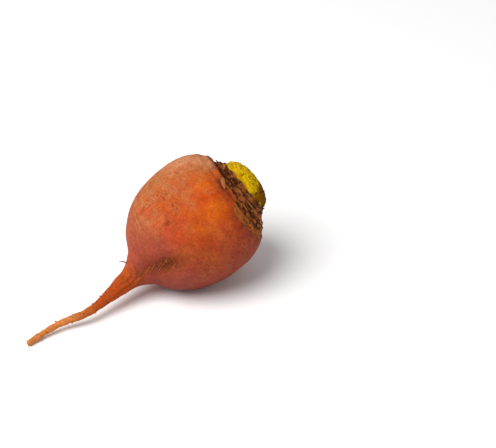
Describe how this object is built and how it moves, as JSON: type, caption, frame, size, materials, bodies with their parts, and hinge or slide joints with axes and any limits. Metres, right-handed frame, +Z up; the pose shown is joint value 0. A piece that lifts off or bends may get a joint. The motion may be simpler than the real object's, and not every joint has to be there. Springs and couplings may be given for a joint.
{
  "type": "golden beet",
  "caption": "Round golden beet with a long curved taproot and a topped crown of cut yellow leaf stalks, lying on its side.",
  "frame": {"origin": "middle of the small flat that the globe rests on", "axes": "+Z up; +X runs from the taproot's tip to the crown in plan; +Y completes the right-handed frame"},
  "size_m": [0.1312, 0.062, 0.0636],
  "materials": {
    "skin": "dull waxy root skin, mottled orange and tan",
    "old_leaf_base": "dry corky brown",
    "cut_stalk": "moist yellow cut stalk"
  },
  "bodies": {
    "root": {"root": "skin", "leaf_base_collar": "old_leaf_base", "leaf_stalk_stubs": "cut_stalk"}
  },
  "joints": []
}
